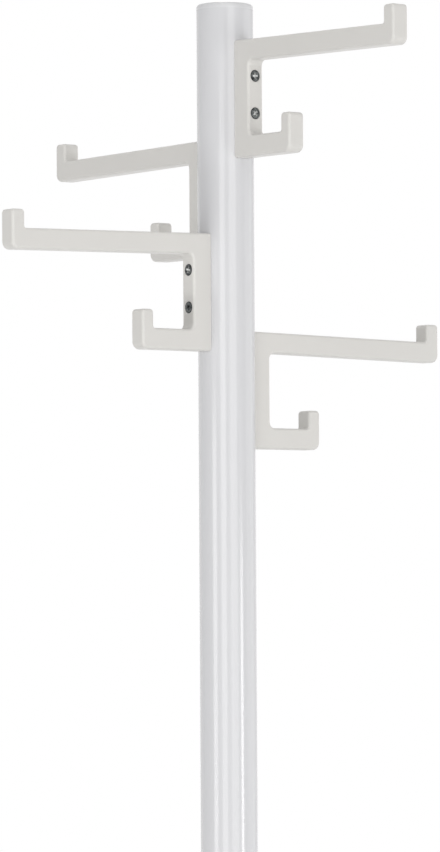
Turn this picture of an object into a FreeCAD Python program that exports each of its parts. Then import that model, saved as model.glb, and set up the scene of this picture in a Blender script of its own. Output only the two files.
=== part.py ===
import FreeCAD, Part
import math
import os
from types import SimpleNamespace
import Sketcher

# A free-standing coat stand. A round steel pole stands on a weighted round base and carries four
# moulded double hooks near its top, each a quarter turn round and one step lower than the last.
# Frame: +Z up, origin on the floor at the pole's axis. Lengths in millimetres, angles in degrees.

# Every driving dimension: name, size, what it measures
DIMENSIONS = (
    ("overall_height", 1750.0, "floor to the top of the cap"),
    ("fit_gap", 0.15, "clearance of a piece in or on the piece that it fits"),
    ("pole_diameter", 40.0, "outside of the pole"),
    ("pole_wall", 1.5, "wall of the pole"),
    ("hook_width", 13.4, "width of a hook across its side faces"),
    ("hook_height", 82.7, "plate of a hook, top to bottom"),
    ("plate_depth", 14.2, "pole surface to the front of the plate"),
    ("arm_height", 14.6, "upper arm, top to underside"),
    ("lower_arm_height", 14.9, "lower arm, top to underside"),
    ("arm_droop", 1.05, "angle by which the upper arm falls towards its tip"),
    ("arm_reach", 156.8, "plate front to the outer face of the upper tip"),
    ("arm_tip_thickness", 10.8, "upper tip along the arm"),
    ("arm_tip_rise", 13.1, "upper tip above the arm"),
    ("lower_reach", 45.2, "plate front to the outer face of the lower tip"),
    ("lower_tip_thickness", 10.0, "lower tip along the arm"),
    ("lower_tip_rise", 13.1, "lower tip above the lower arm"),
    ("plate_corner", 4.5, "radius of the hollow corners at the plate"),
    ("foot_corner", 1.8, "radius of the hollow corner at the foot of a tip"),
    ("outer_corner", 5.5, "radius under a tip"),
    ("tip_corner", 2.6, "radius on top of a tip"),
    ("edge_round", 2.0, "radius along the edges of the side faces"),
    ("first_hook_drop", 27.2, "top of the cap to the arm of the highest hook"),
    ("hook_step", 67.7, "each hook below the one before it"),
    ("screw_drop", 25.9, "arm to the upper screw"),
    ("screw_pitch", 26.3, "upper screw to lower screw"),
    ("screw_diameter", 4.0, "thread of a hook screw"),
    ("screw_head", 8.4, "head of a hook screw"),
    ("screw_sink", 0.25, "screw head below the front of the plate"),
    ("screw_length", 25.0, "hook screw with its head"),
    ("screw_clearance", 0.25, "room round the screw in the plate"),
    ("recess_span", 5.0, "cross recess, end to end"),
    ("recess_slot", 1.2, "cross recess, width of a slot"),
    ("recess_depth", 1.6, "cross recess, depth"),
    ("nut_diameter", 6.0, "body of a rivet nut"),
    ("nut_flange", 9.0, "flange of a rivet nut"),
    ("nut_flange_thickness", 0.8, "thickness of that flange"),
    ("nut_bulge", 8.0, "collar that the set nut forms behind the wall"),
    ("nut_bulge_length", 2.5, "that collar along the nut"),
    ("nut_length", 10.5, "rivet nut, end to end"),
    ("cap_height", 4.0, "cap above the end of the pole"),
    ("cap_round", 2.6, "radius round the top of the cap"),
    ("cap_wall", 2.0, "wall of the cap's stem and crown"),
    ("cap_stem", 22.0, "stem of the cap inside the pole"),
    ("fin_depth", 1.0, "gripping fin, stem to bore"),
    ("fin_thickness", 1.2, "gripping fin along the stem"),
    ("fin_pitch", 5.0, "one fin to the next"),
    ("plug_length", 30.0, "threaded plug in the foot of the pole"),
    ("plug_chamfer", 1.0, "chamfer on the plug's rims"),
    ("base_diameter", 400.0, "outside of the base"),
    ("cover_sheet", 1.5, "sheet of the base cover"),
    ("cover_flat", 90.0, "flat seat in the middle of the cover"),
    ("cover_rise", 14.0, "rim of the cover up to that seat"),
    ("cover_gap", 1.0, "ballast up to the rim of the cover"),
    ("cover_round", 8.0, "radius round the rim of the cover"),
    ("skirt_lift", 3.0, "floor to the lower edge of the cover"),
    ("ballast_thickness", 10.0, "disc of the ballast"),
    ("ballast_inset", 10.0, "skirt of the cover in to the ballast"),
    ("hub_diameter", 80.0, "hub of the ballast under the seat"),
    ("hub_blend", 6.0, "radius at the root of the hub"),
    ("ballast_edge", 2.0, "radius round the ballast"),
    ("pad_diameter", 24.0, "floor pad"),
    ("pad_height", 4.0, "thickness of a floor pad"),
    ("pad_inset", 20.0, "rim of the ballast in to the middle of a pad"),
    ("bolt_diameter", 10.0, "thread of the base bolt"),
    ("bolt_flats", 16.0, "bolt head across its flats"),
    ("bolt_head", 6.4, "height of the bolt head"),
    ("bolt_engagement", 22.0, "bolt inside the plug"),
    ("bolt_tip", 1.0, "chamfer on the bolt's tip"),
    ("bolt_head_cover", 1.0, "bolt head up inside the recess"),
    ("washer_diameter", 20.0, "plain washer"),
    ("washer_thickness", 2.0, "thickness of the plain washer"),
    ("spring_washer_diameter", 18.0, "split spring washer"),
    ("spring_washer_thickness", 2.2, "thickness of the spring washer, pressed flat"),
    ("spring_washer_split", 1.2, "split in the spring washer, midway across it"),
    ("wrench_room", 6.0, "room for a socket round the washer"),
)
PAD_COUNT = 6
FIN_COUNT = 3

# Where the hooks stand: name, turn about the pole from +X, steps below the highest hook
STATIONS = (
    ("front", -90.0, 0),
    ("back", 90.0, 1),
    ("left", 180.0, 2),
    ("right", 0.0, 3),
)

doc = FreeCAD.newDocument("coat_stand")


class Size:
    """A number with the sheet formula that keeps it up to date."""

    def __init__(self, value, formula):
        self.value = float(value)
        self.formula = formula

    def __add__(self, other):
        other = as_size(other)
        return Size(self.value + other.value, f"({self.formula} + {other.formula})")

    def __sub__(self, other):
        other = as_size(other)
        return Size(self.value - other.value, f"({self.formula} - {other.formula})")

    def __mul__(self, other):
        other = as_size(other)
        return Size(self.value * other.value, f"({self.formula} * {other.formula})")

    def __truediv__(self, other):
        other = as_size(other)
        return Size(self.value / other.value, f"({self.formula} / {other.formula})")

    def __neg__(self):
        return Size(-self.value, f"(-1 * {self.formula})")

    def root(self):
        return Size(math.sqrt(self.value), f"sqrt({self.formula})")

    def slope(self):
        return Size(math.tan(math.radians(self.value)), f"tan({self.formula} * 1 deg)")


def as_size(number):
    return number if isinstance(number, Size) else Size(number, f"{number}")


NIL = as_size(0)
FULL_TURN = as_size(360)


def make_sheet():
    """Write the driving dimensions to the sheet and return them as sizes, by name."""
    sheet = doc.addObject("Spreadsheet::Sheet", "dims")
    for row, (alias, number, meaning) in enumerate(DIMENSIONS, start=1):
        sheet.set(f"A{row}", meaning)
        sheet.set(f"B{row}", str(number))
        sheet.setAlias(f"B{row}", alias)
    doc.recompute()
    sizes = {alias: Size(sheet.get(alias), f"dims.{alias}") for alias, _, _ in DIMENSIONS}
    return SimpleNamespace(**sizes)


# Helpers for bodies, sketches and features

def new_body(label, height=NIL, turn=0.0):
    """A body at a height on the pole's axis, turned about that axis."""
    body = doc.addObject("PartDesign::Body", label)
    body.Label = label
    body.Placement = FreeCAD.Placement(
        FreeCAD.Vector(0, 0, height.value), FreeCAD.Rotation(FreeCAD.Vector(0, 0, 1), turn))
    body.setExpression("Placement.Base.z", height.formula)
    return body


def origin_of(body, role):
    return next(item for item in body.Origin.OriginFeatures if item.Role == role)


def new_sketch(body, role, name, offset=(NIL, NIL, NIL), turn=0.0):
    """A sketch on an origin plane, moved by the offset and turned about its own vertical."""
    sketch = body.newObject("Sketcher::SketchObject", name)
    sketch.AttachmentSupport = [(origin_of(body, role), "")]
    sketch.MapMode = "FlatFace"
    place = FreeCAD.Vector(*(size.value for size in offset))
    sketch.AttachmentOffset = FreeCAD.Placement(
        place, FreeCAD.Rotation(FreeCAD.Vector(0, 1, 0), turn))
    for axis, size in zip("xyz", offset):
        sketch.setExpression(f"AttachmentOffset.Base.{axis}", size.formula)
    return sketch


def hold(sketch, kind, geometry, point, size):
    """Hold a point's coordinate, or a radius, at a size."""
    if kind == "Radius":
        index = sketch.addConstraint(Sketcher.Constraint(kind, geometry, size.value))
    else:
        index = sketch.addConstraint(Sketcher.Constraint(kind, geometry, point, size.value))
    sketch.setExpression(f"Constraints[{index}]", size.formula)


def arc_about(start, end, centre_x):
    """The arc between two points whose centre lies at a given x, and whether it runs backwards."""
    gain = end.dot(end) - start.dot(start) - 2 * centre_x * (end.x - start.x)
    centre = FreeCAD.Vector(centre_x, gain / (2 * (end.y - start.y)), 0)
    angles = [math.atan2(point.y - centre.y, point.x - centre.x) for point in (start, end)]
    circle = Part.Circle(centre, FreeCAD.Vector(0, 0, 1), start.distanceToPoint(centre))
    return Part.ArcOfCircle(circle, min(angles), max(angles)), angles[0] > angles[1]


def draw_outline(sketch, corners, domed=None):
    """A closed outline with every corner held at its own sizes. Its sides are straight, but for the
    domed ones, which are arcs: their numbers are given with the x of their centres."""
    domed = domed or {}
    count = len(corners)
    points = [FreeCAD.Vector(x.value, y.value, 0) for x, y in corners]
    ends = []
    for i, start in enumerate(points):
        finish = points[(i + 1) % count]
        backwards = False
        if i in domed:
            side, backwards = arc_about(start, finish, domed[i].value)
        else:
            side = Part.LineSegment(start, finish)
        index = sketch.addGeometry(side, False)
        ends.append((index, 2, 1) if backwards else (index, 1, 2))
    for i, (index, first, last) in enumerate(ends):
        follows, join, _ = ends[(i + 1) % count]
        sketch.addConstraint(Sketcher.Constraint("Coincident", index, last, follows, join))
        hold(sketch, "DistanceX", index, first, corners[i][0])
        hold(sketch, "DistanceY", index, first, corners[i][1])
        if i in domed:
            hold(sketch, "DistanceX", index, 3, domed[i])


def draw_circle(sketch, radius, x=NIL, y=NIL):
    centre = FreeCAD.Vector(x.value, y.value, 0)
    circle = Part.Circle(centre, FreeCAD.Vector(0, 0, 1), radius.value)
    index = sketch.addGeometry(circle, False)
    hold(sketch, "Radius", index, 0, radius)
    hold(sketch, "DistanceX", index, 3, x)
    hold(sketch, "DistanceY", index, 3, y)


def pad(body, sketch, name, length, both_ways=False):
    feature = body.newObject("PartDesign::Pad", name)
    feature.Profile = sketch
    feature.setExpression("Length", length.formula)
    if both_ways:
        feature.SideType = "Symmetric"
    doc.recompute()
    return feature


def revolve(body, sketch, name, axis, turn=FULL_TURN):
    feature = body.newObject("PartDesign::Revolution", name)
    feature.Profile = sketch
    feature.ReferenceAxis = (sketch, [axis])
    feature.setExpression("Angle", turn.formula)
    doc.recompute()
    return feature


def must_cut(body, before, name):
    """Stop if a cut missed its solid."""
    doc.recompute()
    if body.Shape.Volume > before - 1.0:
        raise RuntimeError(f"{body.Label}: {name} cuts nothing")


def pocket(body, sketch, name, depth=None, outward=False):
    """Cut to a depth behind the sketch, or in front of it; with no depth, right through."""
    before = body.Shape.Volume
    feature = body.newObject("PartDesign::Pocket", name)
    feature.Profile = sketch
    feature.Reversed = outward
    if depth is None:
        feature.SideType = "Two sides"
        feature.Type = "ThroughAll"
        feature.Type2 = "ThroughAll"
    else:
        feature.setExpression("Length", depth.formula)
    must_cut(body, before, name)
    return feature


def groove(body, sketch, name, axis):
    before = body.Shape.Volume
    feature = body.newObject("PartDesign::Groove", name)
    feature.Profile = sketch
    feature.ReferenceAxis = (sketch, [axis])
    feature.setExpression("Angle", FULL_TURN.formula)
    must_cut(body, before, name)
    return feature


def dress(body, kind, name, edges, size):
    """Round or chamfer the named edges of the body."""
    base = body.Tip
    feature = body.newObject(f"PartDesign::{kind}", name)
    feature.Base = (base, edges)
    feature.setExpression("Radius" if kind == "Fillet" else "Size", size.formula)
    body.Tip = feature
    doc.recompute()
    return feature


def repeat_down(body, originals, name, pitch, count):
    """Repeat features down the body's vertical."""
    pattern = body.newObject("PartDesign::LinearPattern", name)
    pattern.Originals = originals
    pattern.Direction = (origin_of(body, "Z_Axis"), [""])
    pattern.Reversed = True
    pattern.Occurrences = count
    pattern.setExpression("Length", (pitch * (count - 1)).formula)
    body.Tip = pattern
    doc.recompute()
    return pattern


def edge_names(body, wanted):
    """The names of the edges that a test picks out, in the body's own frame."""
    edges = enumerate(body.Tip.Shape.Edges, start=1)
    names = [f"Edge{number}" for number, edge in edges if wanted(edge)]
    if not names:
        raise RuntimeError(f"{body.Label}: no such edge")
    return names


def crosswise_at(x, z):
    """A test for the edge that runs across a hook's side view at one corner of its outline."""
    def wanted(edge):
        box = edge.BoundBox
        across = box.YLength > 10 * max(box.XLength, box.ZLength)
        return across and math.hypot(box.Center.x - x.value, box.Center.z - z.value) < 0.01
    return wanted


def ring_at(radius, z):
    """A test for the round edge at one corner of a turned piece's half section."""
    def wanted(edge):
        box = edge.BoundBox
        level = box.ZLength < 0.01 and abs(box.Center.z - z.value) < 0.01
        return level and abs(box.XLength / 2 - radius.value) < 0.01
    return wanted


# Sizes and levels that several pieces share

d = make_sheet()
pole_radius = d.pole_diameter / 2
bore_radius = pole_radius - d.pole_wall
pole_top = d.overall_height - d.cap_height

# The hook and its fasteners share one local frame: x out from the pole's axis, z up from the arm
plate_front = pole_radius + d.plate_depth
screw_radius = d.screw_diameter / 2
nut_back = pole_radius + d.fit_gap
nut_front = nut_back + d.nut_flange_thickness

# Levels in the base, from the floor up
ballast_bottom = d.pad_height
ballast_top = ballast_bottom + d.ballast_thickness
bolt_recess = d.washer_thickness + d.spring_washer_thickness + d.bolt_head + d.bolt_head_cover
recess_top = ballast_bottom + bolt_recess
washer_bottom = recess_top - d.washer_thickness
bolt_bearing = washer_bottom - d.spring_washer_thickness
cover_rim = ballast_top + d.cover_gap + d.cover_sheet
cover_top = cover_rim + d.cover_rise
base_radius = d.base_diameter / 2
ballast_radius = base_radius - d.cover_sheet - d.ballast_inset
bolt_bore = d.bolt_diameter / 2 + d.fit_gap


# The pole and what closes its ends

def pole_tube():
    body = new_body("pole_tube", cover_top)
    section = new_sketch(body, "XY_Plane", "pole_section")
    draw_circle(section, pole_radius)
    draw_circle(section, bore_radius)
    pad(body, section, "pole_length", pole_top - cover_top)
    for name, turn, steps in STATIONS:
        arm_level = hook_level(steps) - cover_top
        drill = new_sketch(body, "YZ_Plane", f"{name}_drill", turn=turn)
        for depth in (d.screw_drop, d.screw_drop + d.screw_pitch):
            draw_circle(drill, d.nut_diameter / 2 + d.fit_gap, y=arm_level - depth)
        pocket(body, drill, f"{name}_holes", d.pole_diameter, outward=True)
    return body


def top_cap():
    """An end cap with a round edge and a hollow stem, held by fins that grip the bore."""
    body = new_body("top_cap", pole_top)
    stem_radius = bore_radius - d.fit_gap - d.fin_depth
    hollow_radius = stem_radius - d.cap_wall
    hollow_top = d.cap_height - d.cap_wall
    half = new_sketch(body, "XZ_Plane", "cap_half_section")
    draw_outline(half, (
        (NIL, hollow_top), (hollow_radius, hollow_top), (hollow_radius, -d.cap_stem),
        (stem_radius, -d.cap_stem), (stem_radius, NIL), (pole_radius, NIL),
        (pole_radius, d.cap_height), (NIL, d.cap_height)))
    revolve(body, half, "cap_turned", "V_Axis")
    rim = edge_names(body, ring_at(pole_radius, d.cap_height))
    dress(body, "Fillet", "cap_edge", rim, d.cap_round)
    fin = new_sketch(body, "XZ_Plane", "fin_section")
    root = stem_radius - d.cap_wall / 2
    fin_top = -d.fin_pitch
    fin_bottom = fin_top - d.fin_thickness
    draw_outline(fin, (
        (root, fin_bottom), (stem_radius + d.fin_depth, fin_bottom),
        (stem_radius + d.fin_depth, fin_top), (root, fin_top)))
    first_fin = revolve(body, fin, "first_fin", "V_Axis")
    body.Tip = first_fin
    repeat_down(body, [first_fin], "fins", d.fin_pitch, FIN_COUNT)
    return body


def foot_plug():
    body = new_body("foot_plug", cover_top)
    plug_radius = bore_radius - d.fit_gap
    half = new_sketch(body, "XZ_Plane", "plug_half_section")
    draw_outline(half, (
        (bolt_bore, NIL), (plug_radius, NIL), (plug_radius, d.plug_length), (bolt_bore, d.plug_length)))
    revolve(body, half, "plug_turned", "V_Axis")
    rims = edge_names(body, ring_at(plug_radius, d.plug_length))
    rims += edge_names(body, ring_at(bolt_bore, NIL))
    dress(body, "Chamfer", "plug_rims", rims, d.plug_chamfer)
    return body


# The hooks and their fasteners

def hook_level(steps):
    """The height of a hook's arm above the floor."""
    return d.overall_height - d.first_hook_drop - d.hook_step * steps


def hook(name, turn, steps):
    """A double hook: plate, long arm and short arm in one bar, hollowed behind to fit the pole."""
    body = new_body(f"hook_{name}", hook_level(steps), turn)
    back = pole_radius - d.hook_width / 4
    tip = plate_front + d.arm_reach
    tip_inside = tip - d.arm_tip_thickness
    lower_tip = plate_front + d.lower_reach
    lower_inside = lower_tip - d.lower_tip_thickness
    underside = -d.arm_height
    lower_top = d.lower_arm_height - d.hook_height
    bottom = -d.hook_height

    def fallen(level, x):
        return level - d.arm_droop.slope() * (x - pole_radius)

    corners = SimpleNamespace(
        back_top=(back, fallen(NIL, back)),
        tip_foot=(tip_inside, fallen(NIL, tip_inside)),
        tip_in=(tip_inside, fallen(d.arm_tip_rise, tip)),
        tip_out=(tip, fallen(d.arm_tip_rise, tip)),
        tip_under=(tip, fallen(underside, tip)),
        plate_upper=(plate_front, fallen(underside, plate_front)),
        plate_lower=(plate_front, lower_top),
        lower_foot=(lower_inside, lower_top),
        lower_in=(lower_inside, lower_top + d.lower_tip_rise),
        lower_out=(lower_tip, lower_top + d.lower_tip_rise),
        lower_under=(lower_tip, bottom),
        back_bottom=(back, bottom))
    side_view = new_sketch(body, "XZ_Plane", f"{name}_side_view")
    draw_outline(side_view, tuple(vars(corners).values()))
    pad(body, side_view, f"{name}_bar", d.hook_width, both_ways=True)

    rounded = (
        (d.plate_corner, (corners.plate_upper, corners.plate_lower)),
        (d.foot_corner, (corners.tip_foot, corners.lower_foot)),
        (d.outer_corner, (corners.tip_under, corners.lower_under)),
        (d.tip_corner, (corners.tip_in, corners.tip_out, corners.lower_in, corners.lower_out)))
    for number, (radius, places) in enumerate(rounded, start=1):
        edges = [edge for place in places for edge in edge_names(body, crosswise_at(*place))]
        dress(body, "Fillet", f"{name}_corners_{number}", edges, radius)

    def outline_edge(edge):
        box = edge.BoundBox
        on_side = box.YLength < 0.01 and abs(abs(box.Center.y) - d.hook_width.value / 2) < 0.01
        return on_side and box.XMax > back.value + 0.01

    dress(body, "Fillet", f"{name}_edges", edge_names(body, outline_edge), d.edge_round)

    saddle = new_sketch(body, "XY_Plane", f"{name}_saddle_section")
    draw_circle(saddle, pole_radius + d.fit_gap)
    pocket(body, saddle, f"{name}_saddle")

    # A stepped hole: room for the nut's flange behind, the screw's bore, and a countersink in front
    bore = screw_radius + d.screw_clearance
    sink = d.screw_head / 2 + d.screw_sink + d.fit_gap
    relief = d.nut_flange / 2 + d.fit_gap
    relief_front = nut_front + d.fit_gap
    proud = d.edge_round
    half = new_sketch(body, "XZ_Plane", f"{name}_hole_half_section", (NIL, -d.screw_drop, NIL))
    draw_outline(half, (
        (back, NIL), (back, relief), (relief_front, relief), (relief_front, bore),
        (plate_front - sink + bore, bore), (plate_front + proud, sink + proud), (plate_front + proud, NIL)))
    hole = groove(body, half, f"{name}_hole", "H_Axis")
    repeat_down(body, [hole], f"{name}_holes", d.screw_pitch, 2)
    return body


def hook_screws(name, turn, steps):
    """Two countersunk screws with cross recesses, their heads just below the plate's front."""
    body = new_body(f"hook_{name}_screws", hook_level(steps), turn)
    face = plate_front - d.screw_sink
    head_radius = d.screw_head / 2
    half = new_sketch(body, "XZ_Plane", f"{name}_screw_half_section", (NIL, -d.screw_drop, NIL))
    draw_outline(half, (
        (face - d.screw_length, NIL), (face - d.screw_length, screw_radius),
        (face - head_radius + screw_radius, screw_radius), (face, head_radius), (face, NIL)))
    shank = revolve(body, half, f"{name}_screw_turned", "H_Axis")
    arm = d.recess_span / 2
    slot = d.recess_slot / 2
    cross = new_sketch(body, "YZ_Plane", f"{name}_recess_section", (NIL, -d.screw_drop, face))
    draw_outline(cross, (
        (arm, -slot), (arm, slot), (slot, slot), (slot, arm), (-slot, arm), (-slot, slot),
        (-arm, slot), (-arm, -slot), (-slot, -slot), (-slot, -arm), (slot, -arm), (slot, -slot)))
    recess = pocket(body, cross, f"{name}_recess", d.recess_depth)
    repeat_down(body, [shank, recess], f"{name}_screw_pair", d.screw_pitch, 2)
    return body


def hook_rivet_nuts(name, turn, steps):
    """Two set rivet nuts: a flange outside the wall, and the formed collar and thread inside it."""
    body = new_body(f"hook_{name}_rivet_nuts", hook_level(steps), turn)
    thread = screw_radius + d.fit_gap
    shell = d.nut_diameter / 2
    flange = d.nut_flange / 2
    bulge = d.nut_bulge / 2
    bulge_front = (bore_radius * bore_radius - bulge * bulge).root() - d.fit_gap
    bulge_back = bulge_front - d.nut_bulge_length
    end = nut_front - d.nut_length
    half = new_sketch(body, "XZ_Plane", f"{name}_nut_half_section", (NIL, -d.screw_drop, NIL))
    draw_outline(half, (
        (end, thread), (nut_front, thread), (nut_front, flange), (nut_back, flange), (nut_back, shell),
        (bulge_front, shell), (bulge_front, bulge), (bulge_back, bulge), (bulge_back, shell), (end, shell)))
    nut = revolve(body, half, f"{name}_nut_turned", "H_Axis")
    repeat_down(body, [nut], f"{name}_nut_pair", d.screw_pitch, 2)
    return body


# The base

def base_cover():
    """A pressed cover: a flat seat for the pole, a shallow dome and a turned-down skirt."""
    body = new_body("base_cover")
    seat = d.cover_flat / 2
    inside = base_radius - d.cover_sheet
    seat_under = cover_top - d.cover_sheet
    span = base_radius - seat
    dome = (span * span + d.cover_rise * d.cover_rise) / (d.cover_rise * 2)
    dome_under = dome - d.cover_sheet
    rim_under = cover_top - dome + (dome_under * dome_under - (inside - seat) * (inside - seat)).root()
    half = new_sketch(body, "XZ_Plane", "cover_half_section")
    draw_outline(half, (
        (bolt_bore, cover_top), (seat, cover_top), (base_radius, cover_rim), (base_radius, d.skirt_lift),
        (inside, d.skirt_lift), (inside, rim_under), (seat, seat_under), (bolt_bore, seat_under)),
        domed={1: seat, 5: seat})
    revolve(body, half, "cover_turned", "V_Axis")
    outer_rim = edge_names(body, ring_at(base_radius, cover_rim))
    dress(body, "Fillet", "cover_outer_rim", outer_rim, d.cover_round)
    inner_rim = edge_names(body, ring_at(inside, rim_under))
    dress(body, "Fillet", "cover_inner_rim", inner_rim, d.cover_round - d.cover_sheet)
    return body


def base_ballast():
    """A cast disc with a hub under the cover's seat and a recess for the bolt head below."""
    body = new_body("base_ballast")
    hub = d.hub_diameter / 2
    hub_top = cover_top - d.cover_sheet
    recess = d.washer_diameter / 2 + d.wrench_room
    half = new_sketch(body, "XZ_Plane", "ballast_half_section")
    draw_outline(half, (
        (bolt_bore, recess_top), (recess, recess_top), (recess, ballast_bottom),
        (ballast_radius, ballast_bottom), (ballast_radius, ballast_top), (hub, ballast_top),
        (hub, hub_top), (bolt_bore, hub_top)))
    revolve(body, half, "ballast_turned", "V_Axis")
    rim = edge_names(body, ring_at(ballast_radius, ballast_top))
    dress(body, "Fillet", "ballast_rim", rim, d.ballast_edge)
    root = edge_names(body, ring_at(hub, ballast_top))
    dress(body, "Fillet", "hub_root", root, d.hub_blend)
    return body


def floor_pads():
    body = new_body("floor_pads")
    disc = new_sketch(body, "XY_Plane", "pad_section")
    draw_circle(disc, d.pad_diameter / 2, x=ballast_radius - d.pad_inset)
    first_pad = pad(body, disc, "first_pad", d.pad_height)
    pattern = body.newObject("PartDesign::PolarPattern", "pads")
    pattern.Originals = [first_pad]
    pattern.Axis = (origin_of(body, "Z_Axis"), [""])
    pattern.Angle = 360.0
    pattern.Occurrences = PAD_COUNT
    body.Tip = pattern
    doc.recompute()
    return body


def ring(label, level, outside, thickness, split=NIL):
    """A washer round the base bolt, whole or split."""
    body = new_body(label, level)
    half = new_sketch(body, "XZ_Plane", f"{label}_half_section")
    draw_outline(half, (
        (bolt_bore, NIL), (outside / 2, NIL), (outside / 2, thickness), (bolt_bore, thickness)))
    midway = (bolt_bore + outside / 2) / 2
    turn = FULL_TURN - split / midway * math.degrees(1)
    revolve(body, half, f"{label}_turned", "V_Axis", turn)
    return body


def base_bolt():
    """A hexagon bolt, head down, that reaches up through the base into the foot plug."""
    body = new_body("base_bolt", bolt_bearing)
    flat = d.bolt_flats / 2
    point = d.bolt_flats / as_size(3).root()
    head = new_sketch(body, "XY_Plane", "bolt_head_section", (NIL, NIL, -d.bolt_head))
    draw_outline(head, (
        (point, NIL), (point / 2, flat), (-point / 2, flat),
        (-point, NIL), (-point / 2, -flat), (point / 2, -flat)))
    pad(body, head, "bolt_head_pad", d.bolt_head)
    length = cover_top - bolt_bearing + d.bolt_engagement
    shank = new_sketch(body, "XY_Plane", "bolt_shank_section")
    draw_circle(shank, d.bolt_diameter / 2)
    pad(body, shank, "bolt_shank", length)
    tip = edge_names(body, ring_at(d.bolt_diameter / 2, length))
    dress(body, "Chamfer", "bolt_tip_chamfer", tip, d.bolt_tip)
    return body


# Build every piece, check it and write it

pieces = [pole_tube(), top_cap(), foot_plug()]
for station in STATIONS:
    pieces += [hook(*station), hook_screws(*station), hook_rivet_nuts(*station)]
pieces += [
    base_cover(),
    base_ballast(),
    floor_pads(),
    base_bolt(),
    ring("base_washer", washer_bottom, d.washer_diameter, d.washer_thickness),
    ring("base_spring_washer", bolt_bearing, d.spring_washer_diameter, d.spring_washer_thickness,
         d.spring_washer_split),
]
doc.recompute()

for item in doc.Objects:
    if "Invalid" in item.State or "Error" in item.State:
        raise RuntimeError(f"{item.Label} failed: {item.State}")
for piece in pieces:
    if piece.Shape.isNull() or not piece.Shape.isValid():
        raise RuntimeError(f"{piece.Label} has no valid shape")

os.makedirs("parts", exist_ok=True)
for piece in pieces:
    piece.Shape.exportStep(f"parts/{piece.Label}.step")
    box = piece.Shape.BoundBox
    print(f"{piece.Label}: {len(piece.Shape.Solids)} solid(s), {piece.Shape.Volume:.1f} mm3, "
          f"z {box.ZMin:.2f} to {box.ZMax:.2f}")
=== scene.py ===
# %% [markdown]
# # A white coat stand with four double hooks
#
# The real stand is a lacquered steel tube on a weighted round base. Four moulded plastic hooks are
# screwed to the tube, one on each of four sides, and each a step lower than the last.
#
# This lesson dresses the measured model of that stand. We load it as a fixed frame, model smooth versions
# of the pieces that show, give every surface a finish made of nodes, and light it like a product picture.
# All lengths are in metres, +Z is up, and the origin is on the floor under the tube.

# %% Load the frame
import math

import bmesh
import bpy
from mathutils import Matrix, Vector


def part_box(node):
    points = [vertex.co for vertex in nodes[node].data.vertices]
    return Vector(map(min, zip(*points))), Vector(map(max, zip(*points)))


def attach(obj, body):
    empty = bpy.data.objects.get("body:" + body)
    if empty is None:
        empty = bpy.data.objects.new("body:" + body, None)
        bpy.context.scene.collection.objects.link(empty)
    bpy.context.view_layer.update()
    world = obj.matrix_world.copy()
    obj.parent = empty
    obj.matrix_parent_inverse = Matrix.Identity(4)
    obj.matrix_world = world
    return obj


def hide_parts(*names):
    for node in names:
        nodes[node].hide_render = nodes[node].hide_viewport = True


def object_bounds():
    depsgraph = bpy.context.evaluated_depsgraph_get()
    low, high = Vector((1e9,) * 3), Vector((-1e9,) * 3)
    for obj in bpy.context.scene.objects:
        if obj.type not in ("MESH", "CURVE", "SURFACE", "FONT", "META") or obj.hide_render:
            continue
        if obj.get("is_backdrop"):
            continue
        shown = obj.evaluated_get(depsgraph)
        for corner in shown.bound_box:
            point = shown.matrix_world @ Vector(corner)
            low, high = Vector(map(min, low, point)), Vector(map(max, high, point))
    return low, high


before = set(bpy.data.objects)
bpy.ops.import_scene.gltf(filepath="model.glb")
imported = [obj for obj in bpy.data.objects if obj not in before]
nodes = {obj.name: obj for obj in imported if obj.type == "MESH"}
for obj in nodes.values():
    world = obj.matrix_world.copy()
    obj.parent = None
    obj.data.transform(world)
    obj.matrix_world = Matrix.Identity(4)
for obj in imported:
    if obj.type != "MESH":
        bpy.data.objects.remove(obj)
cad_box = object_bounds()
print(f"{len(nodes)} measured pieces, {cad_box[1].z - cad_box[0].z:.3f} m tall")

# %% [markdown]
# ## Where the camera stands
#
# The picture was taken with a long lens from nearly four metres away, a little below the hooks, and it
# frames only the upper part of the stand. One could turn a camera by eye until the outline fits. Here
# its place comes from measuring the hooks in the picture, so we write down bearing, distance, height and
# tilt.

# %% Camera
VIEW_BEARING = math.radians(-38.56)
VIEW_DISTANCE = 3.7575
VIEW_HEIGHT = 1.3072
VIEW_TILT = math.radians(2.22)
VIEW_SWING = math.radians(0.075)
VIEW_ROLL = math.radians(-0.32)
VIEW_LENS = 226.06


def around(bearing, distance, height):
    """A point at a bearing round the tube: bearing 0 is in front of it, on -Y, and 90 degrees is on +X."""
    return Vector((math.sin(bearing) * distance, -math.cos(bearing) * distance, height))


def upright(bearing, tilt=0.0, roll=0.0):
    """The turn that makes a camera or a lamp at that bearing look back at the tube."""
    level = Matrix.Rotation(bearing, 3, "Z") @ Matrix.Rotation(math.pi / 2 + tilt, 3, "X")
    return (level @ Matrix.Rotation(roll, 3, "Z")).to_euler()


bpy.ops.object.camera_add(
    location=around(VIEW_BEARING, VIEW_DISTANCE, VIEW_HEIGHT),
    rotation=upright(VIEW_BEARING + VIEW_SWING, VIEW_TILT, VIEW_ROLL))
camera = bpy.context.object
camera.data.sensor_width = 36.0
camera.data.lens = VIEW_LENS
bpy.context.scene.camera = camera
print("camera at", [round(value, 3) for value in camera.location])

# %% [markdown]
# ## Tools for modelling by hand
#
# Every piece below starts from a primitive and is shaped in edit mode. An operator works on all that is
# selected, so each helper first deselects everything. Edges are picked by where they are, as one would
# click them in the viewport.

# %% Helpers: select, draw, settle


def deselect():
    """Go back to object mode with nothing selected."""
    active = bpy.context.object
    if active and active.mode != "OBJECT":
        bpy.ops.object.mode_set(mode="OBJECT")
    bpy.ops.object.select_all(action="DESELECT")


def take(piece):
    """Make a piece the only selected one."""
    deselect()
    piece.select_set(True)
    bpy.context.view_layer.objects.active = piece


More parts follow.
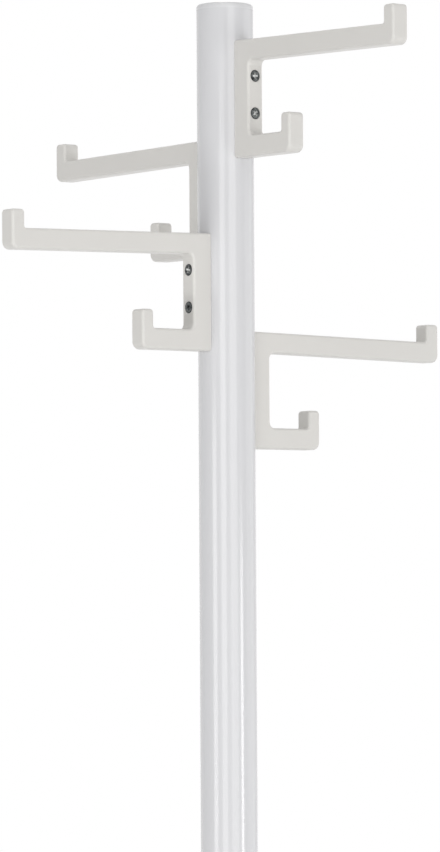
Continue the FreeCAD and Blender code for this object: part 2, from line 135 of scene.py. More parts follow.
def settle(name):
    """Name the active object and put its place into its mesh, so that it sits unturned at the origin."""
    piece = bpy.context.object
    take(piece)
    bpy.ops.object.transform_apply(location=True, rotation=True, scale=True)
    piece.name = name
    piece.data.name = name
    return piece


def draw_line(points):
    """Draw a line: a plane merged to one vertex, which is extruded from point to point."""
    deselect()
    bpy.ops.mesh.primitive_plane_add(size=1.0)
    bpy.ops.object.mode_set(mode="EDIT")
    bpy.ops.mesh.select_mode(type="VERT")
    bpy.ops.mesh.merge(type="CENTER")
    bpy.ops.transform.translate(value=points[0])
    for start, end in zip(points, points[1:]):
        bpy.ops.mesh.extrude_vertices_move(TRANSFORM_OT_translate={"value": end - start})
    bpy.ops.mesh.select_all(action="SELECT")


def pick_edges(wanted):
    """In edit mode, select the edges whose two ends pass a test."""
    bpy.ops.mesh.select_mode(type="EDGE")
    bpy.ops.mesh.select_all(action="DESELECT")
    mesh = bmesh.from_edit_mesh(bpy.context.object.data)
    chosen = [edge for edge in mesh.edges if wanted(edge.verts[0].co, edge.verts[1].co)]
    for edge in chosen:
        edge.select_set(True)
    bmesh.update_edit_mesh(bpy.context.object.data)
    return len(chosen)


def round_edges(radius, segments):
    """Round the selected edges."""
    bpy.ops.mesh.bevel(
        offset=radius, offset_type="OFFSET", segments=segments, profile=0.5,
        affect="EDGES", clamp_overlap=False)


# %% Helpers: turn, cut, smooth
MERGE_WITHIN = 1e-6
CUT_SLIVER = 5e-6


def face_outwards():
    """Merge doubled vertices and turn all faces outwards."""
    bpy.ops.mesh.select_mode(type="VERT")
    bpy.ops.mesh.select_all(action="SELECT")
    bpy.ops.mesh.remove_doubles(threshold=MERGE_WITHIN)
    bpy.ops.mesh.normals_make_consistent(inside=False)


def turn_line(name, points, axis, centre=(0.0, 0.0, 0.0), steps=128):
    """Turn a line about an axis, as on a lathe."""
    draw_line(points)
    bpy.ops.mesh.spin(steps=steps, angle=2 * math.pi, center=centre, axis=axis)
    face_outwards()
    return settle(name)


def apply_modifier(piece, kind, **settings):
    """Add a modifier, set it up and apply it."""
    take(piece)
    modifier = piece.modifiers.new(kind.lower(), kind)
    for name, value in settings.items():
        setattr(modifier, name, value)
    bpy.ops.object.modifier_apply(modifier=modifier.name)


def cut(piece, cutter):
    """Cut a closed shape out of a piece and merge the slivers that this leaves.

    If the cutter has a material, the cut faces get it.
    """
    mode = "TRANSFER" if cutter.data.materials else "INDEX"
    apply_modifier(
        piece, "BOOLEAN", operation="DIFFERENCE", solver="EXACT", object=cutter, material_mode=mode)
    bpy.data.objects.remove(cutter)
    bpy.ops.object.mode_set(mode="EDIT")
    bpy.ops.mesh.select_all(action="SELECT")
    bpy.ops.mesh.remove_doubles(threshold=CUT_SLIVER)
    deselect()


def smooth(piece, sharp_from=35.0):
    """Shade round faces as round, while the large flat faces stay flat."""
    take(piece)
    bpy.ops.object.shade_smooth_by_angle(angle=math.radians(sharp_from))
    apply_modifier(piece, "WEIGHTED_NORMAL", mode="FACE_AREA", weight=50, keep_sharp=True)


def stand_for(piece, node):
    """Let a piece take a measured node's place, and print how far their boxes differ."""
    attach(piece, "root")
    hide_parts(node)
    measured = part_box(node)
    corners = [vertex.co for vertex in piece.data.vertices]
    made = [Vector(map(side, zip(*corners))) for side in (min, max)]
    worst = max(abs(a - b) for one, two in zip(made, measured) for a, b in zip(one, two))
    print(f"{piece.name}: {len(piece.data.polygons)} faces, within {worst * 1000:.2f} mm of {node}")


# %% [markdown]
# ## The tube
#
# The tube is drawn steel, 40 mm across with a wall of 1.5 mm. A cylinder without ends, thickened inwards
# by Solidify, gives that wall. With 192 sides the gloss runs round it without facets. Each hook hangs on
# two rivet nuts, so the wall has two drilled holes behind each hook.

# %% Shared sizes and stations
POLE_RADIUS = 0.020
POLE_WALL = 0.0015
FIT_GAP = 0.00015
PLATE_FRONT = POLE_RADIUS + 0.0142
ARM_END = PLATE_FRONT + 0.1568
ARM_TIP_RISE = 0.0131
ARM_SLOPE = math.tan(math.radians(1.05))
SCREW_DROP = 0.0259
SCREW_PITCH = 0.0263
NUT_HOLE_RADIUS = 0.003 + FIT_GAP
ROUND_SIDES = 192

STATIONS = {"front": -90.0, "back": 90.0, "left": 180.0, "right": 0.0}
tip_above_arm = ARM_TIP_RISE - ARM_SLOPE * (ARM_END - POLE_RADIUS)


def arm_level(station):
    """The height of a hook's arm where it leaves the tube, from the top of its measured node."""
    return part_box(f"hook_{station}")[1].z - tip_above_arm


def screw_levels(station):
    upper = arm_level(station) - SCREW_DROP
    return upper, upper - SCREW_PITCH


for station in STATIONS:
    print(station, "arm at", round(arm_level(station), 4))

# %% Model the tube
pole_low, pole_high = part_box("pole_tube")
deselect()
bpy.ops.mesh.primitive_cylinder_add(
    vertices=ROUND_SIDES, radius=POLE_RADIUS, depth=pole_high.z - pole_low.z, end_fill_type="NOTHING",
    location=(0, 0, (pole_low.z + pole_high.z) / 2))
pole = settle("pole")
apply_modifier(pole, "SOLIDIFY", thickness=POLE_WALL, offset=-1.0)

# %% Drill the tube
DRILL_REACH = 0.03
DRILL_SIDES = 32

for station, degrees in STATIONS.items():
    for level in screw_levels(station):
        outward = Vector((math.cos(math.radians(degrees)), math.sin(math.radians(degrees)), 0))
        deselect()
        bpy.ops.mesh.primitive_cylinder_add(
            vertices=DRILL_SIDES, radius=NUT_HOLE_RADIUS, depth=DRILL_REACH,
            location=outward * POLE_RADIUS + Vector((0, 0, level)),
            rotation=(math.pi / 2, 0, math.radians(degrees + 90)))
        cut(pole, settle("drill"))
smooth(pole)
stand_for(pole, "pole_tube")

# %% [markdown]
# ## The cap that closes the tube
#
# The top of the tube is closed by a white plastic cap with a round edge: its crown sits on the tube's
# end, and a hollow stem with gripping fins goes down inside. It is turned from one line, like a lathe
# part. The round edge is an arc in that line.

# %% Arcs for turned pieces


def arc(centre, radius, start, end, count):
    """Points along an arc in the XZ plane, from one angle to another, in degrees."""
    angles = [math.radians(start + (end - start) * step / count) for step in range(count + 1)]
    return [centre + Vector((math.cos(angle), 0, math.sin(angle))) * radius for angle in angles]


def xz(x, z):
    return Vector((x, 0, z))


# %% Turn the cap
CAP_ROUND = 0.0026
CAP_WALL = 0.002
FIN_DEPTH = 0.001
FIN_THICKNESS = 0.0012
FIN_PITCH = 0.005
FIN_COUNT = 3

cap_low, cap_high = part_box("top_cap")
crown = cap_high.z
seat = pole_high.z
stem = POLE_RADIUS - POLE_WALL - FIT_GAP - FIN_DEPTH
hollow = stem - CAP_WALL
cap_line = [xz(0, crown)]
cap_line += arc(xz(POLE_RADIUS - CAP_ROUND, crown - CAP_ROUND), CAP_ROUND, 90, 0, count=10)
cap_line += [xz(POLE_RADIUS, seat), xz(stem, seat)]
for number in range(1, FIN_COUNT + 1):
    fin_top = seat - FIN_PITCH * number
    fin_bottom = fin_top - FIN_THICKNESS
    cap_line += [xz(stem, fin_top), xz(stem + FIN_DEPTH, fin_top)]
    cap_line += [xz(stem + FIN_DEPTH, fin_bottom), xz(stem, fin_bottom)]
cap_line += [xz(stem, cap_low.z), xz(hollow, cap_low.z)]
cap_line += [xz(hollow, crown - CAP_WALL), xz(0, crown - CAP_WALL)]
cap = turn_line("cap", cap_line, axis=(0, 0, 1), steps=ROUND_SIDES)
smooth(cap)
stand_for(cap, "top_cap")

# %% [markdown]
# ## The double hook
#
# Each hook is one moulding: a plate against the tube, a long arm with an upturned tip above, and a short
# hook below, all of one bar 13.4 mm wide. It could be built from boxes, but the moulding flows round its
# corners. So we draw its side view once, fill it, extrude it to the bar's width, and then round first the
# corners of the side view and last the long edges. The long arm falls by about a degree towards its tip.

# %% Side view of the hook
HOOK_WIDTH = 0.0134
HOOK_HEIGHT = 0.0827
ARM_HEIGHT = 0.0146
LOWER_ARM_HEIGHT = 0.0149
ARM_TIP_THICKNESS = 0.0108
LOWER_END = PLATE_FRONT + 0.0452
LOWER_TIP_THICKNESS = 0.0100
LOWER_TIP_RISE = 0.0131
HOOK_BACK = POLE_RADIUS - HOOK_WIDTH / 4


def fallen(x, z, at=None):
    """A point of the side view, lowered with the arm's slope at its own x or at another."""
    return xz(x, z - ARM_SLOPE * ((x if at is None else at) - POLE_RADIUS))


arm_inside = ARM_END - ARM_TIP_THICKNESS
lower_inside = LOWER_END - LOWER_TIP_THICKNESS
lower_floor = LOWER_ARM_HEIGHT - HOOK_HEIGHT
back_corners = [xz(HOOK_BACK, -HOOK_HEIGHT), fallen(HOOK_BACK, 0)]
lower_tip_top = lower_floor + LOWER_TIP_RISE
plate_corners = [fallen(PLATE_FRONT, -ARM_HEIGHT), xz(PLATE_FRONT, lower_floor)]
foot_corners = [fallen(arm_inside, 0), xz(lower_inside, lower_floor)]
tip_corners = [
    fallen(arm_inside, ARM_TIP_RISE, at=ARM_END), fallen(ARM_END, ARM_TIP_RISE),
    xz(lower_inside, lower_tip_top), xz(LOWER_END, lower_tip_top)]
under_corners = [fallen(ARM_END, -ARM_HEIGHT), xz(LOWER_END, -HOOK_HEIGHT)]
side_view = [
    *back_corners, foot_corners[0], *tip_corners[:2], under_corners[0],
    *plate_corners, foot_corners[1], *tip_corners[2:], under_corners[1]]
print(f"side view of {len(side_view)} corners, tip top {tip_corners[1].z * 1000:.3f} mm above the arm")

# %% Extrude the bar and round its corners
half_width = Vector((0, HOOK_WIDTH / 2, 0))
draw_line([point - half_width for point in side_view])
bpy.ops.mesh.edge_face_add()
bpy.ops.mesh.extrude_region_move(TRANSFORM_OT_translate={"value": half_width * 2})
face_outwards()

SAME_PLACE = 1e-5
CORNER_RADII = (
    (plate_corners, 0.0045, 10), (foot_corners, 0.0018, 8),
    (under_corners, 0.0055, 10), (tip_corners, 0.0026, 8))


def runs_across_at(corners):
    """A test for edges that run across the bar at one of the corners."""
    def at_corner(end):
        return any(math.hypot(end.x - place.x, end.z - place.z) < SAME_PLACE for place in corners)
    return lambda one, two: at_corner(one) and at_corner(two) and abs(one.y - two.y) > SAME_PLACE


for corners, radius, segments in CORNER_RADII:
    count = pick_edges(runs_across_at(corners))
    round_edges(radius, segments)
    print(f"{count} corners rounded to {radius * 1000} mm")

# %% Round the long edges
EDGE_ROUND = 0.0020


def on_a_side_face(one, two):
    """True for the edges of the two side faces, but for those that lie against the tube."""
    side = HOOK_WIDTH / 2 - SAME_PLACE
    behind = max(one.x, two.x) < HOOK_BACK + SAME_PLACE
    return one.y * two.y > side * side and not behind


count = pick_edges(on_a_side_face)
round_edges(EDGE_ROUND, segments=6)
hook_model = settle("hook_model")
print(f"{count} long edges rounded, {len(hook_model.data.polygons)} faces")

# %% [markdown]
# ### The hook's back and its screw holes
#
# The back is hollowed to sit on the round tube, and each screw has a stepped hole: room for the rivet
# nut's flange behind, a bore, and a countersink in front. Boolean cuts with a cylinder and with a turned
# cutter are the plain way to make them, because both cutters are exact and closed.

# %% Cut the saddle and the holes
SCREW_RADIUS = 0.002
SCREW_SIDES = 64
SCREW_CLEARANCE = 0.00025
SCREW_HEAD_RADIUS = 0.0042
SCREW_SINK = 0.00025
NUT_FLANGE_RADIUS = 0.0045
NUT_FLANGE_THICKNESS = 0.0008

deselect()
bpy.ops.mesh.primitive_cylinder_add(
    vertices=ROUND_SIDES, radius=POLE_RADIUS + FIT_GAP, depth=3 * HOOK_HEIGHT,
    location=(0, 0, -HOOK_HEIGHT / 2))
cut(hook_model, settle("saddle"))

bore = SCREW_RADIUS + SCREW_CLEARANCE
sink = SCREW_HEAD_RADIUS + SCREW_SINK + FIT_GAP
relief = NUT_FLANGE_RADIUS + FIT_GAP
relief_front = POLE_RADIUS + FIT_GAP + NUT_FLANGE_THICKNESS + FIT_GAP
for drop in (SCREW_DROP, SCREW_DROP + SCREW_PITCH):
    steps_along = (
        (HOOK_BACK, 0), (HOOK_BACK, relief), (relief_front, relief), (relief_front, bore),
        (PLATE_FRONT - sink + bore, bore), (PLATE_FRONT + EDGE_ROUND, sink + EDGE_ROUND),
        (PLATE_FRONT + EDGE_ROUND, 0))
    line = [xz(along, out - drop) for along, out in steps_along]
    hole = turn_line("hole", line, axis=(1, 0, 0), centre=(0, 0, -drop), steps=SCREW_SIDES)
    cut(hook_model, hole)
smooth(hook_model)
print(f"hook: {len(hook_model.data.polygons)} faces")

# %% Copy the hook to its four stations


def copy_of(model):
    """A copy with its own mesh, selected alone."""
    take(model)
    bpy.ops.object.duplicate(linked=False)
    return bpy.context.object


def send_to(station, piece, name):
    """Turn a piece to a station, raise it to its arm's level and name it."""
    take(piece)
    piece.rotation_euler.z = math.radians(STATIONS[station])
    piece.location.z = arm_level(station)
    return settle(name)


hooks = []
for station in STATIONS:
    hooks.append(send_to(station, copy_of(hook_model), f"double_hook_{station}"))
    stand_for(hooks[-1], f"hook_{station}")
bpy.data.objects.remove(hook_model)

# %% [markdown]
# ## The screws
#
# Two countersunk machine screws hold each hook. Their plating is dark, worn to grey in patches on the
# flat of the head. The cross recess has a light steel finish, which is a painted highlight for the light
# that the recess catches. The recess could be painted on, but light has to fall into it. So the screw is
# turned from a line, and two tapered blades cut the recess. A blade brings its own material, so the cut
# faces get the painted highlight. In two screws the recess has the worn head finish instead, so it stays
# dark.

# %% Materials that the screw needs while it is made
screw_finish = bpy.data.materials.new("dark_zinc")
face_finish = bpy.data.materials.new("worn_zinc")
# The recess finish is a light steel that paints a highlight into the cross recess.
recess_highlight_finish = bpy.data.materials.new("painted_highlight_recess_steel")

# %% Turn one screw
SCREW_LENGTH = 0.025
HEAD_EDGE = 0.0003
HEAD_BEVEL = 0.0006
POINT_CHAMFER = 0.0005
head_face = PLATE_FRONT - SCREW_SINK
neck = head_face - HEAD_EDGE - SCREW_HEAD_RADIUS + SCREW_RADIUS
tip = head_face - SCREW_LENGTH
steps_along = (
    (tip, 0), (tip, SCREW_RADIUS - POINT_CHAMFER), (tip + POINT_CHAMFER, SCREW_RADIUS),
    (neck, SCREW_RADIUS), (head_face - HEAD_EDGE, SCREW_HEAD_RADIUS),
    (head_face, SCREW_HEAD_RADIUS - HEAD_BEVEL), (head_face, 0))
screw_model = turn_line(
    "screw_model", [xz(along, out) for along, out in steps_along], axis=(1, 0, 0), steps=SCREW_SIDES)

# %% Give the flat of the head its worn finish


def pick_faces(wanted):
    """In edit mode, select the faces whose normal passes a test."""
    bpy.ops.mesh.select_mode(type="FACE")
    bpy.ops.mesh.select_all(action="DESELECT")
    mesh = bmesh.from_edit_mesh(bpy.context.object.data)
    chosen = [face for face in mesh.faces if wanted(face.normal)]
    for face in chosen:
        face.select_set(True)
    bmesh.update_edit_mesh(bpy.context.object.data)
    return len(chosen)


for finish in (screw_finish, face_finish):
    screw_model.data.materials.append(finish)
bpy.ops.object.mode_set(mode="EDIT")
count = pick_faces(lambda normal: normal.x > 0.99)
screw_model.active_material_index = 1
bpy.ops.object.material_slot_assign()
deselect()
print(f"{count} faces on the flat of the head")

# %% Cut the cross recess
RECESS_SPAN = 0.0054
RECESS_SLOT = 0.0017
RECESS_DEPTH = 0.0009
RECESS_FLOOR = 0.55

for degrees in (0, 90):
    deselect()
    bpy.ops.mesh.primitive_cube_add(size=1.0, location=(head_face, 0, 0))
    bpy.ops.object.mode_set(mode="EDIT")
    bpy.ops.transform.resize(value=(2 * RECESS_DEPTH, RECESS_SLOT, RECESS_SPAN))
    pick_faces(lambda normal: normal.x < -0.9)
    bpy.ops.transform.resize(value=(1, RECESS_FLOOR, RECESS_FLOOR))
    bpy.ops.object.mode_set(mode="OBJECT")
    bpy.context.object.rotation_euler.x = math.radians(degrees)
    blade = settle("blade")
    # The blade's finish paints that highlight onto the cut faces.
    blade.data.materials.append(recess_highlight_finish)
    cut(screw_model, blade)
smooth(screw_model, sharp_from=25.0)
print(f"screw: {len(screw_model.data.polygons)} faces in {len(screw_model.data.materials)} finishes")

# %% Make a pair for each station
#
# Each screw stops at its own turn, as real ones do.
CROSS_TURNS = {"front": (4, 42), "back": (64, 17), "left": (75, 23), "right": (31, 80)}
# In two screws the recess gets the worn head finish instead of the painted highlight, so it stays dark.
DARK_RECESS_SCREWS = {("left", 1), ("right", 1)}
RECESS_HIGHLIGHT_SLOT = 2

for station, turns in CROSS_TURNS.items():
    pair = []
    for number, turn in enumerate(turns):
        screw = copy_of(screw_model)
        if (station, number) in DARK_RECESS_SCREWS:
            screw.data.materials[RECESS_HIGHLIGHT_SLOT] = face_finish
        screw.rotation_euler.x = math.radians(turn)
        screw.location.z = -SCREW_DROP - SCREW_PITCH * number
        pair.append(settle("screw"))
    take(pair[0])
    pair[1].select_set(True)
    bpy.ops.object.join()
    screws = send_to(station, pair[0], f"countersunk_screws_{station}")
    stand_for(screws, f"hook_{station}_screws")
bpy.data.objects.remove(screw_model)

# %% [markdown]
# ## The base cover
#
# A pressed steel cover hides the cast weight: a flat seat for the tube, a shallow dome that starts level
# with it, and a rim that rolls over into a short skirt. Seat, dome and rim run into each other without a
# kink, so one line of arcs is turned, and Solidify is not needed because the line goes round the sheet.

# %% Turn the cover
COVER_SHEET = 0.0015
COVER_SEAT = 0.045
COVER_RISE = 0.014
COVER_ROUND = 0.008
BOLT_BORE = 0.005 + FIT_GAP

cover_low, cover_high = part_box("base_cover")
rim = cover_high.x
span = rim - COVER_SEAT
dome = (span ** 2 + COVER_RISE ** 2) / (2 * COVER_RISE)
dome_centre = xz(COVER_SEAT, cover_high.z - dome)
rim_along = rim - COVER_ROUND - COVER_SEAT
rim_centre = dome_centre + xz(rim_along, math.sqrt((dome - COVER_ROUND) ** 2 - rim_along ** 2))
dome_end = math.degrees(math.acos(rim_along / (dome - COVER_ROUND)))


def cover_skin(depth):
    """The line from seat to skirt, at a depth under the outer skin."""
    over = arc(dome_centre, dome - depth, 90, dome_end, count=24)
    return over + arc(rim_centre, COVER_ROUND - depth, dome_end, 0, count=12)[1:]


def cover_side(depth):
    """One side of the sheet, from the bore to the skirt's lower edge."""
    return [xz(BOLT_BORE, cover_high.z - depth), *cover_skin(depth), xz(rim - depth, cover_low.z)]


outer = cover_side(0)
cover_line = outer + cover_side(COVER_SHEET)[::-1] + outer[:1]
cover = turn_line("cover", cover_line, axis=(0, 0, 1), steps=ROUND_SIDES)
smooth(cover)
stand_for(cover, "base_cover")

# %% [markdown]
# ## The floor pads
#
# Six rubber pads under the weight keep the stand off the floor. One pad is a cylinder with a rounded
# lower rim and a shallow hollow that grips like a suction foot. It is modelled once and copied round the
# ring.

# %% Model one pad and copy it
PAD_RADIUS = 0.012
PAD_COUNT = 6
PAD_SIDES = 64
PAD_RIM = 0.0012
PAD_LIP = 0.003
PAD_HOLLOW = 0.0005

pad_low, pad_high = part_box("floor_pads")
pad_ring = pad_high.x - PAD_RADIUS
deselect()
bpy.ops.mesh.primitive_cylinder_add(
    vertices=PAD_SIDES, radius=PAD_RADIUS, depth=pad_high.z, location=(pad_ring, 0, pad_high.z / 2))
first_pad = settle("pads")
bpy.ops.object.mode_set(mode="EDIT")
pick_faces(lambda normal: normal.z < -0.9)
bpy.ops.mesh.inset(thickness=PAD_LIP)
bpy.ops.mesh.inset(thickness=PAD_HOLLOW)
bpy.ops.transform.translate(value=(0, 0, PAD_HOLLOW))
pick_edges(lambda one, two: max(one.z, two.z) < SAME_PLACE and all(
    abs(math.hypot(end.x - pad_ring, end.y) - PAD_RADIUS) < SAME_PLACE for end in (one, two)))
round_edges(PAD_RIM, segments=4)
deselect()

copies = []
for number in range(1, PAD_COUNT):
    copy_of(first_pad).rotation_euler.z = 2 * math.pi * number / PAD_COUNT
    copies.append(settle("pad_copy"))
take(first_pad)
for copy in copies:
    copy.select_set(True)
bpy.ops.object.join()
pads = settle("pads")
smooth(pads)
stand_for(pads, "floor_pads")

# %% [markdown]
# ## Shader maths that reads like arithmetic
#
# Finishes are node trees. Written node by node they are hard to read, so one small class wraps a socket:
# arithmetic on it adds Math nodes, and one method adds any other node.

# %% The socket wrapper


class Wire:
    """A socket in a node tree. Arithmetic on wires adds Math nodes."""

    def __init__(self, tree, socket=None):
        self.tree = tree
        self.socket = socket

    def node(self, kind, settings=None, inputs=None, output=0):
        """Add a node: its settings first, then its sockets' values or links."""
        made = self.tree.nodes.new(kind)
        for name, value in (settings or {}).items():
            setattr(made, name, value)
        for name, value in (inputs or {}).items():
            if isinstance(value, Wire):
                self.tree.links.new(value.socket, made.inputs[name])
            else:
                made.inputs[name].default_value = value
        return Wire(self.tree, made.outputs[output] if made.outputs else None)

    def maths(self, operation, first, second):
        return self.node("ShaderNodeMath", {"operation": operation}, {0: first, 1: second})

    def __add__(self, other):
        return self.maths("ADD", self, other)

    def __radd__(self, other):
        return self.maths("ADD", other, self)

    def __sub__(self, other):
        return self.maths("SUBTRACT", self, other)

    def __rsub__(self, other):
        return self.maths("SUBTRACT", other, self)

    def __mul__(self, other):
        return self.maths("MULTIPLY", self, other)

    def __rmul__(self, other):
        return self.maths("MULTIPLY", other, self)


# %% Helpers for finishes


def srgb(red, green, blue):
    """A colour given as it shows on a screen, 0 to 255, as the shader's linear colour."""
    def linear(value):
        share = value / 255
        return share / 12.92 if share <= 0.04045 else ((share + 0.055) / 1.055) ** 2.4
    return (linear(red), linear(green), linear(blue), 1.0)


def open_finish(material):
    """Turn on a material's nodes, and return a wire to build with and the surface shader."""
    material.use_nodes = True
    return Wire(material.node_tree), material.node_tree.nodes["Principled BSDF"]


def noise(wire, scale, detail=2.0, roughness=0.5):
    """Soft random values from 0 to 1 over the piece, at so many features to the metre."""
    place = wire.node("ShaderNodeTexCoord", output="Object")
    return wire.node(
        "ShaderNodeTexNoise", inputs={
            "Vector": place, "Scale": scale, "Detail": detail, "Roughness": roughness})


def blend(wire, share, first, second):
    """One colour passing into another."""
    return wire.node(
        "ShaderNodeMix", {"data_type": "RGBA"}, {0: share, 6: first, 7: second}, output=2)


def bump(wire, height, strength, depth):
    return wire.node(
        "ShaderNodeBump", inputs={"Height": height, "Strength": strength, "Distance": depth})


def feed(wire, surface, **inputs):
    """Set or link sockets of the surface, named with underscores."""
    for name, value in inputs.items():
        socket = surface.inputs[name.replace("_", " ")]
        if isinstance(value, Wire):
            wire.tree.links.new(value.socket, socket)
        else:
            socket.default_value = value


# %% [markdown]
# ## Finishes
#
# The tube's gloss lacquer is a cool white with a mirror-like skin and a trace of orange peel. Its colour
# hardly changes, so the life in it comes from the bump and from slight changes in gloss. The cap is the
# same white in plastic, a little duller and finely grained.

# %% White lacquer
lacquer = bpy.data.materials.new("gloss_lacquer")
wire, surface = open_finish(lacquer)
drift = noise(wire, 6.0, detail=3.0)
peel = noise(wire, 260.0, detail=2.0)
feed(
    wire, surface,
    Base_Color=blend(wire, drift, srgb(210, 210, 212), srgb(212, 212, 214)),
    Roughness=0.10 + 0.05 * noise(wire, 40.0),
    IOR=1.5,
    Normal=bump(wire, peel, 0.015, 0.0004))
for piece in (pole, cover):
    piece.data.materials.append(lacquer)

# %% White cap plastic
cap_finish = bpy.data.materials.new("cap_moulding")
wire, surface = open_finish(cap_finish)
grain = noise(wire, 1800.0, detail=3.0)
feed(
    wire, surface,
    Base_Color=blend(wire, noise(wire, 30.0), srgb(209, 209, 211), srgb(213, 213, 214)),
    Roughness=0.30 + 0.10 * grain,
    Normal=bump(wire, grain, 0.05, 0.0001))
cap.data.materials.append(cap_finish)

# %% [markdown]
# The hooks are a warm off-white, moulded with a satin skin. A fine grain breaks up the gloss, and a
# faint, broad mottle keeps large faces from looking painted.

# %% Off-white hook plastic
hook_finish = bpy.data.materials.new("hook_moulding")
wire, surface = open_finish(hook_finish)
mottle = noise(wire, 28.0, detail=4.0, roughness=0.6)
grain = noise(wire, 2200.0, detail=3.0)
feed(
    wire, surface,
    Base_Color=blend(wire, mottle, srgb(211, 209, 205), srgb(215, 213, 209)),
    Roughness=0.30 + 0.10 * grain,
    Normal=bump(wire, grain, 0.06, 0.0001))
for hook in hooks:
    hook.data.materials.append(hook_finish)

# %% [markdown]
# The screws have three finishes: dark plating, the same plating worn through in patches, and a light
# steel in the recess, which is a painted highlight. All are metal, so what differs is the colour of their
# reflection and how sharp it is. The wear is a noise whose contrast is raised, because wear has edges.

# %% Screw plating, worn plating and the recess's painted highlight
wire, surface = open_finish(screw_finish)
smear = noise(wire, 900.0, detail=4.0)
feed(
    wire, surface,
    Base_Color=blend(wire, smear, srgb(30, 32, 35), srgb(50, 52, 55)),
    Metallic=1.0,
    Roughness=0.30 + 0.20 * smear)
wire, surface = open_finish(face_finish)
wear = 2.4 * noise(wire, 520.0, detail=3.0) - 0.7
feed(
    wire, surface,
    Base_Color=blend(wire, wear, srgb(38, 40, 41), srgb(112, 115, 114)),
    Metallic=1.0,
    Roughness=0.28 + 0.22 * wear)
# A light steel colour: a painted highlight for the light that the recess catches.
wire, surface = open_finish(recess_highlight_finish)
scratch = noise(wire, 2600.0, detail=2.0)
feed(
    wire, surface,
    Base_Color=blend(wire, scratch, srgb(178, 180, 180), srgb(212, 212, 210)),
    Metallic=1.0,
    Roughness=0.28 + 0.15 * scratch)

# %% [markdown]
# What is hidden is finished too, because the stand can be looked at from below or taken apart: zinc
# plated steel for the nuts, the plug and the bolt, sand-cast iron for the weight, and black rubber for
# the pads.

# %% Zinc plated steel, cast iron, rubber
zinc = bpy.data.materials.new("plated_steel")
wire, surface = open_finish(zinc)
spangle = wire.node(
    "ShaderNodeTexVoronoi", inputs={
        "Vector": wire.node("ShaderNodeTexCoord", output="Object"), "Scale": 420.0}, output="Distance")
cloud = noise(wire, 120.0, detail=4.0)
feed(
    wire, surface,
    Base_Color=blend(wire, cloud, srgb(186, 190, 192), srgb(216, 216, 208)),
    Metallic=1.0,
    Roughness=0.28 + 0.16 * spangle)

iron = bpy.data.materials.new("sand_cast_iron")
wire, surface = open_finish(iron)
sand = noise(wire, 700.0, detail=6.0, roughness=0.7)
patch = noise(wire, 18.0, detail=4.0)
feed(
    wire, surface,
    Base_Color=blend(wire, patch, srgb(52, 52, 54), srgb(78, 74, 70)),
    Metallic=0.4,
    Roughness=0.60 + 0.25 * sand,
    Normal=bump(wire, sand, 0.5, 0.0006))

rubber = bpy.data.materials.new("black_rubber")
wire, surface = open_finish(rubber)
dust = noise(wire, 90.0, detail=5.0)
feed(
    wire, surface,
    Base_Color=blend(wire, dust, srgb(34, 34, 36), srgb(62, 61, 60)),
    Roughness=0.70 + 0.20 * dust,
    Normal=bump(wire, noise(wire, 1500.0), 0.15, 0.0002))
pads.data.materials.append(rubber)

# %% Finish the measured pieces that stay
KEPT = {
    zinc: ["foot_plug", "base_bolt", "base_washer", "base_spring_washer",
           *(f"hook_{station}_rivet_nuts" for station in STATIONS)],
    iron: ["base_ballast"],
}
for finish, names in KEPT.items():
    for name in names:
        nodes[name].data.materials.clear()
        nodes[name].data.materials.append(finish)
    print(finish.name, "on", ", ".join(names))

# %% [markdown]
# ## Floor, background and light
#
# The picture is a cut-out on white. The world is white to the camera and to reflections. As light it is
# much weaker, as in a room with pale walls: enough for the hollows of the hooks, while the lamps shape
# the rest. A pale floor takes the stand's shadow and fades into that white further out. Seen from below
# it is clear, so that the stand's underside can be looked at.

# %% World
SKY_LIGHT = 0.33
world = bpy.data.worlds.new("studio")
bpy.context.scene.world = world
world.use_nodes = True
world.node_tree.nodes.clear()
wire = Wire(world.node_tree)


def seen_directly(wire):
    """1 where the camera, a reflection or glass sees a surface, and 0 where it only gives light."""
    kinds = ("Camera", "Glossy", "Transmission")
    rays = [wire.node("ShaderNodeLightPath", output=f"Is {kind} Ray") for kind in kinds]
    return wire.maths("MAXIMUM", wire.maths("MAXIMUM", rays[0], rays[1]), rays[2])


def plain_white(wire, strength):
    return wire.node("ShaderNodeBackground", inputs={"Color": (1, 1, 1, 1), "Strength": strength})


sky = wire.node("ShaderNodeMixShader", inputs={
    0: seen_directly(wire), 1: plain_white(wire, SKY_LIGHT), 2: plain_white(wire, 1.0)})
wire.node("ShaderNodeOutputWorld", inputs={"Surface": sky})

# %% Floor
FLOOR_RADIUS = 2.6
FLOOR_SIDES = 128
FADE_FROM = 0.5
FLOOR_GLOW = 0.45
deselect()
bpy.ops.mesh.primitive_circle_add(vertices=FLOOR_SIDES, radius=FLOOR_RADIUS, fill_type="NGON")
floor = settle("floor")
floor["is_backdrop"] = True
floor_finish = bpy.data.materials.new("pale_floor")
wire, surface = open_finish(floor_finish)
place = wire.node("ShaderNodeTexCoord", output="Object")
out = wire.node("ShaderNodeVectorMath", {"operation": "LENGTH"}, {0: place}, output="Value")
fade = wire.node("ShaderNodeMapRange", {"interpolation_type": "SMOOTHSTEP"}, {
    "Value": out, "From Min": FADE_FROM, "From Max": FLOOR_RADIUS, "To Min": FLOOR_GLOW})
feed(wire, surface, Base_Color=srgb(238, 238, 238), Roughness=0.9)
glow = wire.node("ShaderNodeEmission", inputs={"Color": (1, 1, 1, 1), "Strength": 1.0})
body = Wire(wire.tree, surface.outputs[0])
mixed = wire.node("ShaderNodeMixShader", inputs={0: fade * seen_directly(wire), 1: body, 2: glow})
from_below = wire.node("ShaderNodeNewGeometry", output="Backfacing")
clear = wire.node("ShaderNodeBsdfTransparent")
shown = wire.node("ShaderNodeMixShader", inputs={0: from_below, 1: mixed, 2: clear})
wire.tree.links.new(shown.socket, wire.tree.nodes["Material Output"].inputs["Surface"])
floor.data.materials.append(floor_finish)

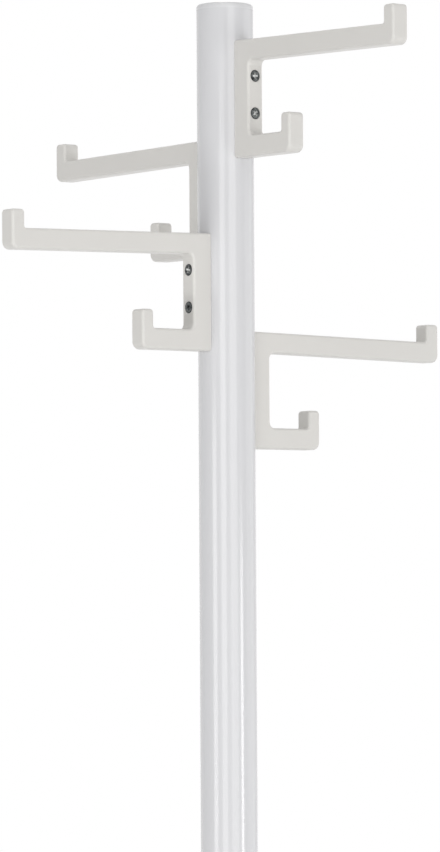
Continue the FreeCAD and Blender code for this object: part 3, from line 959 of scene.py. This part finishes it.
# %% [markdown]
# Long upright soft boxes surround the stand. Each draws a bright line down the glossy tube, so their
# bearings come from where those lines are in the picture. A small one low on the left is in line with
# the left arm and throws that arm's soft shadow up the tube. One hangs above the camera and lights the
# hollows behind the tips, and one right above the stand lights the tops of the arms. Two behind the
# stand light its back. The tube would mirror these two and the low one as lines that aren't in the
# picture, so they give light but no reflection.

# %% Soft boxes


def soft_box(name, swing, distance, level, size, watts, tilt=0.0, mirrored=True):
    """A soft box, swung so many degrees to the right of the camera as seen from the tube.

    Its middle is at a level above the floor, and its size is its width and height.
    """
    bearing = VIEW_BEARING + math.radians(swing)
    bpy.ops.object.light_add(
        type="AREA", location=around(bearing, distance, level),
        rotation=upright(bearing, math.radians(tilt)))
    lamp = bpy.context.object
    lamp.name = name
    lamp.data.shape = "RECTANGLE"
    lamp.data.size, lamp.data.size_y = size
    lamp.data.energy = watts
    lamp.visible_camera = False
    lamp.visible_glossy = mirrored
    print(f"{name}: {watts} W, {size[0]} by {size[1]} m")


deselect()
soft_box("left_box", swing=-53.0, distance=2.4, level=1.135, size=(0.75, 0.87), watts=7.5)
soft_box(
    "low_left_box", swing=-52.5, distance=2.3, level=1.04, size=(0.30, 0.36), watts=7.3, tilt=13.5,
    mirrored=False)
soft_box("front_left_box", swing=-15.0, distance=2.6, level=1.075, size=(0.95, 1.75), watts=13.0)
soft_box("front_right_box", swing=26.5, distance=2.6, level=1.70, size=(1.30, 2.00), watts=14.0)
soft_box("right_box", swing=57.5, distance=2.4, level=0.80, size=(0.45, 1.20), watts=12.3)
soft_box("far_right_box", swing=105.0, distance=2.4, level=1.30, size=(2.00, 2.20), watts=10.5)
soft_box("high_box", swing=0.0, distance=1.2, level=3.00, size=(1.20, 0.80), watts=4.8, tilt=-48.0)
soft_box("overhead_box", swing=0.0, distance=0.0, level=3.30, size=(0.90, 0.90), watts=6.0, tilt=-90.0)
for name, swing in (("back_left_box", -150.0), ("back_right_box", 150.0)):
    soft_box(name, swing, distance=2.6, level=1.40, size=(1.40, 2.00), watts=18.0, mirrored=False)

# %% [markdown]
# ## The last look
#
# The Standard view shows colours as they were written. The dressed stand has to fill the same box as the
# measured one, so both boxes are measured and their difference is printed.

# %% Check the size and finish
bpy.context.scene.view_settings.view_transform = "Standard"
seen_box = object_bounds()
grown = [(b - a) * 1000 for one, two in zip(cad_box, seen_box) for a, b in zip(one, two)]
print("visual box against CAD box, mm:", [round(value, 2) for value in grown])
